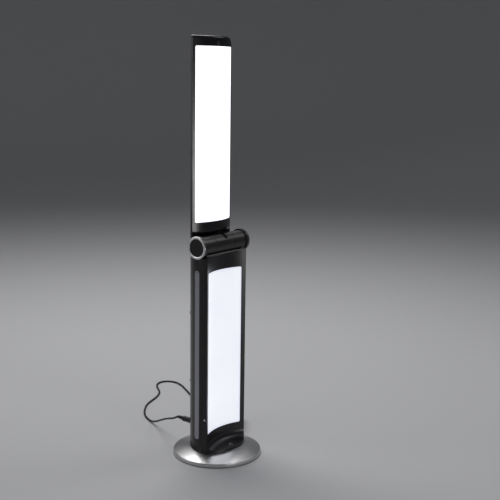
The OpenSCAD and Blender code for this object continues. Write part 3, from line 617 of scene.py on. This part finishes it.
def window_look(place):
    cloud = noise(place, 900.0)
    return {
        "Base Color": tint(cloud, (0.25, 0.55, 0.30), (0.35, 0.70, 0.40)),
        "Roughness": spread(cloud, 0.3, 0.7, 0.18, 0.3),
        "Emission Color": tint(cloud, (0.10, 0.70, 0.22), (0.20, 0.90, 0.35)),
    }


green_window = material("green_window", {"Emission Strength": 1.2}, window_look)
adapter_light.data.materials.append(green_window)
adapter_light.matrix_world = Matrix.Translation((0, 18 * mm, adapter_size.z / 2))
adapter = joined("wall_adapter", adapter_case, adapter_light)
adapter.matrix_world = adapter_turn @ Matrix.Translation((0, 0, adapter_size.z / 2))
settle(adapter, "column", "dark_plastic", "power_adapter")

blades = []
hole_r, hole_half, hole_y = 1.6 * mm, 3 * mm, -4.6 * mm
hole_profile = [(0, -hole_half), (hole_r, -hole_half), (hole_r, hole_half), (0, hole_half)]
for x in (-pin_x, pin_x):
    blade = block("adapter_pin", pin_size, 0.35 * mm, 3)
    hole = turned_profile("pin_hole", hole_profile, segments=24)
    hole.data.transform(Matrix.Translation((0, hole_y, 0)) @ Matrix.Rotation(math.radians(90), 4, "Y"))
    blade = cut_with(blade, hole)
    blade.data.materials.clear()
    blade.data.materials.append(plated)
    blade.matrix_world = (
        adapter_turn @ Matrix.Translation((x, -adapter_size.y / 2 - pin_y, adapter_size.z / 2))
    )
    bpy.context.view_layer.update()
    blades.append(blade)
pins = joined("adapter_flat_pins", *blades)
settle(pins, "column", "screw_steel", "adapter_pins")

# ---- Base ----
# A low dome of pressed steel in satin silver paint with fine metal flakes. A steel plate and a weight
# close it from below, and a rubber ring keeps it from sliding.


def dress(finish, *names):
    """Gives CAD nodes a finish, on the slot that they already have."""
    for name in names:
        nodes[name].material_slots[0].material = finish


def silver_look(place):
    flakes = place.node("TexVoronoi", (), {"Vector": place, "Scale": 2200.0}, out=1)
    sparkle = flakes.node("SeparateColor", (), {"Color": flakes})
    cloud = noise(place, 26.0)
    dust = noise(place, 380.0, 6.0)
    return {
        "Base Color": tint(sparkle, (0.50, 0.50, 0.50), (0.66, 0.66, 0.665)),
        "Roughness": spread(cloud * 0.6 + dust * 0.4, 0.3, 0.7, 0.27, 0.36),
        "Normal": bump(sparkle, 0.004 * mm, bump(dust, 0.01 * mm)),
    }


silver = material(
    "satin_silver_paint", {"Metallic": 0.9, "Coat Weight": 0.25, "Coat Roughness": 0.12}, silver_look,
)
dress(silver, "base_cover")


def black_steel_look(place):
    texture = noise(place, 1500.0, 5.0)
    patches = noise(place, 60.0)
    return {
        "Base Color": tint(patches, (0.016, 0.016, 0.017), (0.030, 0.030, 0.031)),
        "Roughness": spread(texture, 0.3, 0.7, 0.45, 0.6),
        "Normal": bump(texture, 0.03 * mm),
    }


dress(material("matt_black_steel", {"Metallic": 0.2}, black_steel_look), "bottom_plate")
dress(rubber, "rubber_ring", "arm_rest")


def raw_steel_look(place):
    scale_marks = noise(place, 160.0, 8.0)
    oil = noise(place, 18.0)
    return {
        "Base Color": tint(scale_marks, (0.16, 0.16, 0.17), (0.34, 0.34, 0.35)),
        "Roughness": spread(oil, 0.3, 0.7, 0.38, 0.6),
        "Normal": bump(scale_marks, 0.08 * mm),
    }


dress(material("raw_steel", {"Metallic": 1.0}, raw_steel_look), "base_weight")


def cast_look(place):
    skin = noise(place, 900.0, 8.0)
    flow = noise(place, 55.0)
    return {
        "Base Color": tint(flow, (0.42, 0.42, 0.43), (0.56, 0.56, 0.57)),
        "Roughness": spread(skin, 0.3, 0.7, 0.42, 0.62),
        "Normal": bump(skin, 0.06 * mm),
    }


dress(material("cast_aluminium", {"Metallic": 1.0}, cast_look), "foot_block")

# ---- Screws ----
# Zinc-plated steel screws with a pan head, a cross recess and a rolled thread. Four hold the base's
# plate, six the column's back and two the hinge's middle barrel, and each stopped at its own angle.
head_r, shank_r = 3 * mm, 1.5 * mm
base_screw_t, base_screw_len = 1.4 * mm, 15 * mm
rear_screw_t, column_screw_len = 1.6 * mm, 14 * mm
column_screw_x, column_screw_rows, knuckle_screw_x = 30, (39, 336, 349), 12
thread_step, loose_turn = 1.1 * mm, 3.1


def cross(half_long, half_wide, low, high):
    """A cross-shaped body along Z that narrows upwards, for cutting a screw's recess."""
    build = bmesh.new()
    a, b = half_long, half_wide
    outline = [
        (a, -b), (a, b), (b, b), (b, a), (-b, a), (-b, b),
        (-a, b), (-a, -b), (-b, -b), (-b, -a), (b, -a), (b, -b),
    ]
    wide, narrow = (
        [build.verts.new((x * size, y * size, z)) for x, y in outline]
        for z, size in ((low, 1.0), (high, 0.7))
    )
    for k in range(len(outline)):
        n = (k + 1) % len(outline)
        build.faces.new((wide[k], wide[n], narrow[n], narrow[k]))
    build.faces.new(reversed(wide))
    build.faces.new(narrow)
    return built("cross", build)


def screw(name, head_t, length):
    """A cross-head screw along Z: its head below the origin and its threaded shank above it."""
    head = turned_profile(name + "_head", [
        (0, -head_t), (head_r * 0.62, -head_t), (head_r * 0.9, -head_t * 0.72), (head_r, -head_t * 0.35),
        (head_r, 0), (0, 0),
    ], segments=32)
    head = cut_with(head, cross(
        half_long=0.56 * head_r, half_wide=0.14 * head_r, low=-1.4 * head_t, high=-0.35 * head_t,
    ))
    threads = max(3, round(length / thread_step))
    step, root_r = length / threads, shank_r * 0.86
    profile = [(0, -0.05 * mm)]
    for k in range(threads):
        low = length * k / threads
        profile += [(root_r, low), (shank_r, low + step * 0.5), (root_r, low + step * 0.96)]
    profile += [(shank_r * 0.5, length), (0, length)]
    shank = turned_profile(name + "_shank", profile, segments=20)
    return joined(name, head, shank)


low_corner, high_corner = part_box("base_screws")
base_screw_set = repeated(
    "base_screw_set", screw("base_screw", base_screw_t, base_screw_len), [
        (x, y, low_corner.z + base_screw_t)
        for x in (low_corner.x + head_r, high_corner.x - head_r)
        for y in (low_corner.y + head_r, high_corner.y - head_r)
    ], plated, spin=loose_turn, seed=4,
)
settle(base_screw_set, "column", "screw_steel", "base_screws")

rear_head_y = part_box("column_screws")[1].y - rear_screw_t
backwards = (math.radians(90), 0, 0)
column_screw_set = repeated(
    "column_screw_set", screw("column_screw", rear_screw_t, column_screw_len), [
        (x * mm, rear_head_y, z * mm)
        for x in (-column_screw_x, column_screw_x) for z in column_screw_rows
    ], plated, turn=backwards, spin=loose_turn, seed=7,
)
settle(column_screw_set, "column", "screw_steel", "column_screws")

low_corner, high_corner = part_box("knuckle_screws")
knuckle_screw_len = high_corner.y - low_corner.y - rear_screw_t
knuckle_screw_set = repeated(
    "knuckle_screw_set", screw("knuckle_screw", rear_screw_t, knuckle_screw_len), [
        (x * mm, high_corner.y - rear_screw_t, (low_corner.z + high_corner.z) / 2)
        for x in (-knuckle_screw_x, knuckle_screw_x)
    ], plated, turn=backwards, spin=loose_turn, seed=2,
)
settle(knuckle_screw_set, "arm", "screw_steel", "knuckle_screws")

# ---- Black shells ----
# The column's and the arm's shells, moulded in glossy black plastic, with a faint orange peel, hairline
# wiping marks and a few finger smudges. The column's front is a little softer, semi-gloss.


def gloss_look(place):
    peel = noise(place, 130.0, 2.0)
    smudges = noise(place, 22.0, 5.0)
    wiping = noise(stretched(place, 90, 90, 4), 9.0, 6.0)
    return {
        "Base Color": tint(smudges, (0.0045, 0.0045, 0.0055), (0.0085, 0.0085, 0.010)),
        "Roughness": spread(smudges * 0.7 + wiping * 0.3, 0.35, 0.7, 0.20, 0.30),
        "Normal": bump(peel, 0.03 * mm),
    }


gloss = material("gloss_black_plastic", {"Specular IOR Level": 0.36}, gloss_look)
dress(gloss, "column_rear_shell", "arm_rear_shell", "arm_front_shell")


def semi_gloss_look(place):
    """The column's front: the same black with a softer shine."""
    smudges = noise(place, 22.0, 5.0)
    peel = noise(place, 190.0, 2.0)
    return {
        "Base Color": tint(smudges, (0.0050, 0.0050, 0.0062), (0.0090, 0.0090, 0.0108)),
        "Roughness": spread(smudges, 0.35, 0.7, 0.30, 0.40),
        "Normal": bump(peel, 0.02 * mm),
    }


semi_gloss = material("semi_gloss_black_plastic", {"Specular IOR Level": 0.45}, semi_gloss_look)
dress(semi_gloss, "column_front_shell")

# ---- Side strips ----
# A long strip of silver-grey plastic let into each side of the column, with a fine grain along it. Its
# face is a shallow trough inside a fine raised edge.
strip_y, strip_low, strip_high, strip_half = 2 * mm, 36.6 * mm, 330 * mm, 5.65 * mm
edge_from, edge_to, trough_depth = 1.6 * mm, 0.5 * mm, 0.45 * mm


def along(place, axis):
    """How far the place lies along an axis: 0 for X, 1 for Y and 2 for Z."""
    return place.node("SeparateXYZ", (), {"Vector": place}, out=axis)


def strip_look(place):
    grain = noise(stretched(place, 60, 60, 1), 40.0, 5.0)
    fade = noise(place, 9.0)
    beside = along(place, 1) - strip_y
    above = along(place, 2) - (strip_low + strip_high) / 2
    past_end = abs(above) - ((strip_high - strip_low) / 2 - strip_half)
    past_end = past_end.maths("MAXIMUM", past_end, 0)
    reach = beside * beside + past_end * past_end
    reach = reach.maths("SQRT", reach)
    edge = spread(reach, strip_half - edge_from, strip_half - edge_to, 0.0, 1.0)
    return {
        "Base Color": tint(grain * 0.6 + fade * 0.4, (0.29, 0.29, 0.335), (0.42, 0.42, 0.475)),
        "Roughness": spread(grain, 0.3, 0.7, 0.30, 0.44),
        "Normal": bump(edge, trough_depth, bump(grain, 0.01 * mm)),
    }


strip = material("silver_grey_strip", {"Metallic": 0.55}, strip_look)
dress(strip, "side_strip_left", "side_strip_right")

# ---- Light panels ----
# Sheets of opal acrylic that the diodes light evenly from behind: pure white in the arm, and a cooler,
# slightly dimmer white in the column. Both fall off a little along their edges.
side_fade, end_fade = 4 * mm, 5 * mm


def edge_share(place, axis, middle, half, reach):
    """0 inside a sheet and 1 at its edges along one axis."""
    return spread(abs(along(place, axis) - middle), half - reach, half, 0.0, 1.0)


def panel_look(low, high, middle_colour, edge_colour):
    """The look of a lit sheet between two corners."""
    def look(place):
        sides = edge_share(place, 0, 0.0, high.x, side_fade)
        ends = edge_share(place, 2, (low.z + high.z) / 2, (high.z - low.z) / 2, end_fade)
        cloud = noise(place, 14.0, 2.0)
        edge = sides.maths("MAXIMUM", sides, ends)
        grain = noise(place, 3000.0, 2.0)
        glow = tint(spread(cloud, 0.3, 0.7, 0.0, 0.35), middle_colour, edge_colour)
        return {
            "Base Color": tint(cloud, (0.58, 0.59, 0.60), (0.64, 0.65, 0.66)),
            "Roughness": spread(grain, 0.3, 0.7, 0.22, 0.34),
            "Emission Color": tint(edge * 0.8, glow, edge_colour),
            "Normal": bump(grain, 0.006 * mm),
        }
    return look


column_glow = material(
    "lit_column_acrylic", {"Emission Strength": 0.80},
    panel_look(*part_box("column_light_panel"), (0.81, 0.82, 0.88), (0.60, 0.63, 0.76)),
)
arm_glow = material(
    "lit_arm_acrylic", {"Emission Strength": 1.25},
    panel_look(*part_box("arm_light_panel"), (1.0, 1.0, 1.0), (0.85, 0.88, 0.95)),
)
dress(column_glow, "column_light_panel")
dress(arm_glow, "arm_light_panel")

# ---- Reflectors and diode boards ----
# Behind each panel is a white tray, closed by a green board with a grid of white diodes: each one a
# small white block with a yellow phosphor window.
board_t, diode_size, diode_h, window_size, window_t = 1.6 * mm, 3 * mm, 0.7 * mm, 2.1 * mm, 0.1 * mm
diode_rows, diode_columns, side_margin, end_margin = 16, 5, 6 * mm, 8 * mm


def tray_look(place):
    grain = noise(place, 1200.0, 4.0)
    cloud = noise(place, 30.0)
    return {
        "Base Color": tint(cloud, (0.74, 0.74, 0.72), (0.84, 0.84, 0.83)),
        "Roughness": spread(grain, 0.3, 0.7, 0.5, 0.66),
        "Normal": bump(grain, 0.02 * mm),
    }


white_plastic = material("matt_white_plastic", {}, tray_look)
dress(white_plastic, "column_reflector", "arm_reflector")


def board_look(place):
    tracks = place.node("TexBrick", {"offset": 0.5}, {
        "Vector": place.node("Mapping", (), {"Vector": place, "Rotation": (math.radians(90), 0, 0)}),
        "Color1": (0, 0, 0, 1), "Color2": (0.2, 0.2, 0.2, 1), "Mortar": (1, 1, 1, 1),
        "Scale": 90.0, "Mortar Size": 0.03,
    })
    cloud = noise(place, 60.0)
    lacquer = tint(cloud, (0.012, 0.075, 0.028), (0.018, 0.10, 0.038))
    return {
        "Base Color": tint(tracks, lacquer, (0.05, 0.20, 0.09)),
        "Roughness": spread(cloud, 0.3, 0.7, 0.28, 0.42),
        "Normal": bump(tracks, 0.03 * mm),
    }


board = material("green_board", {"Coat Weight": 0.2, "Coat Roughness": 0.2}, board_look)


def phosphor_look(place):
    cloud = noise(place, 700.0)
    return {
        "Base Color": tint(cloud, (0.70, 0.52, 0.08), (0.85, 0.68, 0.16)),
        "Roughness": spread(cloud, 0.3, 0.7, 0.25, 0.4),
        "Emission Color": tint(cloud, (1.0, 0.93, 0.75), (1.0, 0.97, 0.85)),
    }


phosphor = material("yellow_phosphor", {"Emission Strength": 1.0}, phosphor_look)


def diode_board(name, node, body):
    """A board with its grid of diodes, in the place of the plain one."""
    low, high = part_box(node)
    half, front = high.x, high.y - board_t
    plate = block(name + "_plate", (2 * half, board_t, high.z - low.z), 0.2 * mm, 2)
    plate.data.transform(Matrix.Translation((0, high.y - board_t / 2, (low.z + high.z) / 2)))
    plate.data.materials.append(board)
    places = []
    for i in range(diode_columns):
        for j in range(diode_rows):
            x = -half + side_margin + i * 2 * (half - side_margin) / (diode_columns - 1)
            z = low.z + end_margin + j * (high.z - low.z - 2 * end_margin) / (diode_rows - 1)
            places.append((x, front, z))
    case = block(name + "_case", (diode_size, diode_h, diode_size), 0.12 * mm, 1)
    case.data.transform(Matrix.Translation((0, -diode_h / 2, 0)))
    window = block(name + "_window", (window_size, window_t, window_size), 0.03 * mm, 1)
    window.data.transform(Matrix.Translation((0, -diode_h, 0)))
    cases = repeated(name + "_cases", case, places, white_plastic)
    windows = repeated(name + "_windows", window, places, phosphor)
    settle(joined(name, plate, cases, windows), body, "board", node)


diode_board("column_diode_board", "column_led_board", "column")
diode_board("arm_diode_board", "arm_led_board", "arm")
dress(board, "control_board")
dress(plug_plastic, "dc_socket", "power_switch")


def brass_look(place):
    tarnish = noise(place, 300.0, 5.0)
    return {
        "Base Color": tint(tarnish, (0.58, 0.42, 0.16), (0.74, 0.56, 0.25)),
        "Roughness": spread(tarnish, 0.3, 0.7, 0.22, 0.4),
        "Normal": bump(tarnish, 0.01 * mm),
    }


dress(material("plain_brass", {"Metallic": 1.0}, brass_look), "side_contact", "friction_washers")

# ---- Buttons ----
# A domed dark button for power in the foot, and a small silver one on the left side for brightness.
# Both are moulded caps that press on a switch or a contact behind them.


def button_look(place):
    haze = noise(place, 260.0, 4.0)
    return {
        "Base Color": tint(haze, (0.020, 0.020, 0.023), (0.034, 0.034, 0.038)),
        "Roughness": spread(haze, 0.3, 0.7, 0.16, 0.28),
        "Normal": bump(haze, 0.01 * mm),
    }


dress(material("dark_button", {"Coat Weight": 0.3, "Coat Roughness": 0.1}, button_look), "power_button")


def silver_button_look(place):
    haze = noise(place, 900.0, 4.0)
    return {
        "Base Color": tint(haze, (0.48, 0.48, 0.50), (0.62, 0.62, 0.64)),
        "Roughness": spread(haze, 0.3, 0.7, 0.24, 0.36),
        "Normal": bump(haze, 0.005 * mm),
    }


dress(material("silver_button", {"Metallic": 0.85}, silver_button_look), "side_button")

# ---- Hinge ----
# A barrel in three lengths, cast and painted satin dark grey, turns on a steel bolt. The middle one is
# the arm's and has a short slot. A ring with a bright turned face and a dark disc close each end.
hinge_y, hinge_z = -2.1 * mm, 369.25 * mm
barrel_r = 16.8 * mm
slot_x, slot_half, slot_floor = 3.4 * mm, 3.3 * mm, barrel_r - 2.4 * mm
slot_back, slot_front, slot_steps = math.radians(89.4), math.radians(143), 16
ring_inner_x, ring_outer_x, ring_r, ring_bore, ring_round = 51.8, 57.4, 19.3, 8.1, 0.9
disc_r, disc_floor = 14.8, 55.0


def hinge_radius(place):
    """The distance from the hinge's axis."""
    centred = place.node("Mapping", (), {"Vector": place, "Location": (0, -hinge_y, -hinge_z)})
    flat = stretched(centred, 0, 1, 1)
    return flat.node("VectorMath", {"operation": "LENGTH"}, {0: flat}, out=1)


def barrel_look(place):
    """Satin paint, with painted shade: near black and rougher inside the short slot."""
    orange = noise(place, 1400.0, 4.0)
    rubs = noise(place, 45.0, 4.0)
    below_skin = spread(hinge_radius(place), barrel_r - 0.3 * mm, barrel_r - 0.1 * mm, 1.0, 0.0)
    off_slot = abs(along(place, 0) - slot_x)
    # Painted shade: the short slot's inside is coloured near black, where shade falls in it.
    slot_painted_shade = spread(off_slot, slot_half + 0.05 * mm, slot_half + 0.15 * mm, 1.0, 0.0) * below_skin
    paint = tint(rubs, (0.012, 0.012, 0.012), (0.021, 0.021, 0.021))
    return {
        "Base Color": tint(slot_painted_shade, paint, (0.002, 0.002, 0.002)),
        "Roughness": spread(rubs, 0.3, 0.7, 0.30, 0.42) + slot_painted_shade * 0.4,
        "Normal": bump(orange, 0.02 * mm),
    }


barrel = material("dark_grey_satin_paint", {"Metallic": 0.15}, barrel_look)
dress(barrel, "hinge_yoke")


def slot_cutter():
    """The short slot's body, bent round the hinge's axis."""
    build = bmesh.new()
    reach = (slot_front - slot_back) / slot_steps
    angles = [slot_back + reach * k for k in range(slot_steps + 1)]
    low_in, low_out, high_in, high_out = (
        [
            build.verts.new((x, hinge_y + radius * math.cos(a), hinge_z + radius * math.sin(a)))
            for a in angles
        ]
        for x in (slot_x - slot_half, slot_x + slot_half)
        for radius in (slot_floor, barrel_r + 0.8 * mm)
    )
    for k in range(slot_steps):
        for a, b in ((low_in, low_out), (high_out, high_in), (low_out, high_out), (high_in, low_in)):
            build.faces.new((a[k], a[k + 1], b[k + 1], b[k]))
    for k in (0, slot_steps):
        build.faces.new((low_in[k], low_out[k], high_out[k], high_in[k]))
    bmesh.ops.recalc_face_normals(build, faces=build.faces)
    return built("slot_cutter", build)


merged = bmesh.new()
merged.from_mesh(nodes["arm_knuckle"].data)
bmesh.ops.remove_doubles(merged, verts=merged.verts, dist=0.001 * mm)
middle_barrel = built("middle_barrel", merged)
old_normals = middle_barrel.data.attributes.get("custom_normal")
if old_normals:
    middle_barrel.data.attributes.remove(old_normals)
middle_barrel = cut_with(middle_barrel, slot_cutter())
middle_barrel.data.materials.clear()
middle_barrel.data.materials.append(barrel)
middle_barrel.data.shade_smooth()
middle_barrel.data.set_sharp_from_angle(angle=math.radians(30))
settle(middle_barrel, "arm", "barrel_grey", "arm_knuckle")
dress(plated, "hinge_bolt", "hinge_nut")


def turning_lines(place, scale):
    """Fine lines round the hinge's axis, as a lathe leaves them."""
    sockets = {"W": hinge_radius(place), "Scale": scale, "Detail": 2.0}
    return place.node("TexNoise", {"noise_dimensions": "1D"}, sockets)


def ring_look(place):
    """Bright turned metal on the face, and the barrel's paint on the side."""
    lines = turning_lines(place, 3500.0)
    patches = noise(place, 80.0)
    face_x = ring_outer_x - ring_round
    painted = spread(abs(along(place, 0)), (face_x - 0.05) * mm, (face_x + 0.05) * mm, 1.0, 0.0)
    turned_face = tint(lines, (0.56, 0.56, 0.57), (0.70, 0.70, 0.71))
    paint = tint(patches, (0.030, 0.030, 0.030), (0.046, 0.046, 0.046))
    return {
        "Base Color": tint(painted, turned_face, paint),
        "Metallic": 1.0 - painted * 0.75,
        "Roughness": spread(patches, 0.3, 0.7, 0.18, 0.28) + painted * 0.08,
        "Normal": bump(lines, 0.004 * mm),
    }


bright = material("turned_bright_ring", {}, ring_look)


def disc_look(place):
    lines = turning_lines(place, 2600.0)
    grain = noise(place, 1500.0, 3.0)
    return {
        "Base Color": tint(lines, (0.005, 0.005, 0.006), (0.011, 0.011, 0.013)),
        "Roughness": spread(grain, 0.3, 0.7, 0.34, 0.46),
        "Normal": bump(lines, 0.01 * mm),
    }


dark_disc = material("dark_disc", {"Specular IOR Level": 0.25}, disc_look)
dress(dark_disc, "hinge_disc_left", "hinge_disc_right")

ring_profile = [
    (ring_bore, ring_inner_x), (ring_r - 0.3, ring_inner_x), (ring_r, ring_inner_x + 0.3),
    (ring_r, ring_outer_x - ring_round), (ring_r - 0.12, ring_outer_x - 0.45),
    (ring_r - 0.45, ring_outer_x - 0.12), (ring_r - ring_round, ring_outer_x),
    (disc_r + 0.5, ring_outer_x), (disc_r + 0.15, ring_outer_x - 0.15), (disc_r, ring_outer_x - 0.5),
    (disc_r, disc_floor), (ring_bore, disc_floor),
]


def end_ring(name, sign, segments=96):
    """A ring turned round the hinge's axis."""
    build = bmesh.new()
    rings = [
        [
            build.verts.new((
                sign * x * mm, hinge_y + radius * mm * math.cos(a), hinge_z + radius * mm * math.sin(a),
            ))
            for a in full_turn(segments)
        ]
        for radius, x in ring_profile
    ]
    for low, high in zip(rings, rings[1:] + rings[:1]):
        for k in range(segments):
            n = (k + 1) % segments
            build.faces.new((low[k], low[n], high[n], high[k])).smooth = True
    bmesh.ops.recalc_face_normals(build, faces=build.faces)
    made = built(name, build)
    made.data.materials.append(bright)
    made.data.set_sharp_from_angle(angle=math.radians(40))
    return made


for side, sign in (("left", -1), ("right", 1)):
    settle(end_ring("end_ring_" + side, sign), "column", "bright_ring", "hinge_ring_" + side)

# ---- Studio ----
# A plain pale floor that turns up into a wall all round, four soft lights and a dim even sky. All of
# this is in metres, and none of it is part of the lamp.
floor_r, bend_r, wall_top = 3.2, 1.4, 4.5
fade_from, fade_to = 0.8, 3.6
bend = [math.radians(a) for a in range(10, 91, 10)]
bowl = turned_profile("studio_floor", [
    (0, 0), (2.0, 0), (floor_r, 0),
    *((floor_r + bend_r * math.sin(a), bend_r - bend_r * math.cos(a)) for a in bend),
    (floor_r + bend_r, wall_top),
], segments=96)


def floor_look(place):
    """Pale grey, with painted shade: a little darker away from the lamp."""
    distance = place.node("VectorMath", {"operation": "LENGTH"}, {0: place}, out=1)
    # Painted shade: the floor's colour darkens with distance from the lamp.
    painted_falloff = spread(distance, fade_from, fade_to, 0.0, 1.0)
    grain = noise(place, 40.0, 4.0)
    return {
        "Base Color": tint(painted_falloff, (0.50, 0.50, 0.51), (0.40, 0.40, 0.41)),
        "Roughness": spread(grain, 0.3, 0.7, 0.55, 0.65),
    }


bowl.data.materials.append(material("pale_floor", {"Specular IOR Level": 0.3}, floor_look))


def soft_light(name, place, size, power, target=(0, 0, 0.3)):
    """A rectangle of soft light that faces the target."""
    light = bpy.data.lights.new(name, "AREA")
    light.shape, light.size, light.size_y, light.energy = "RECTANGLE", size[0], size[1], power
    lamp = bpy.data.objects.new(name, light)
    bpy.context.scene.collection.objects.link(lamp)
    facing = (Vector(target) - Vector(place)).to_track_quat("-Z", "Y")
    lamp.matrix_world = Matrix.Translation(place) @ facing.to_matrix().to_4x4()


soft_light("overhead", (0.55, 0.9, 1.9), (1.5, 1.1), 28)
soft_light("left_back", (-2.1, 1.8, 0.75), (0.6, 1.3), 5, (0, 0, 0.5))
soft_light("right", (1.4, -0.75, 1.7), (0.8, 0.6), 4.5, (0, 0, 0.4))
soft_light("low_front", (-0.3, -1.9, 0.26), (0.40, 0.32), 7, (0, 0, 0.1))
world = bpy.data.worlds.new("studio")
world.use_nodes = True
sky = world.node_tree.nodes["Background"]
sky.inputs["Color"].default_value = (0.40, 0.41, 0.43, 1)
sky.inputs["Strength"].default_value = 0.55
bpy.context.scene.world = world
bpy.context.scene.view_settings.view_transform = "Standard"
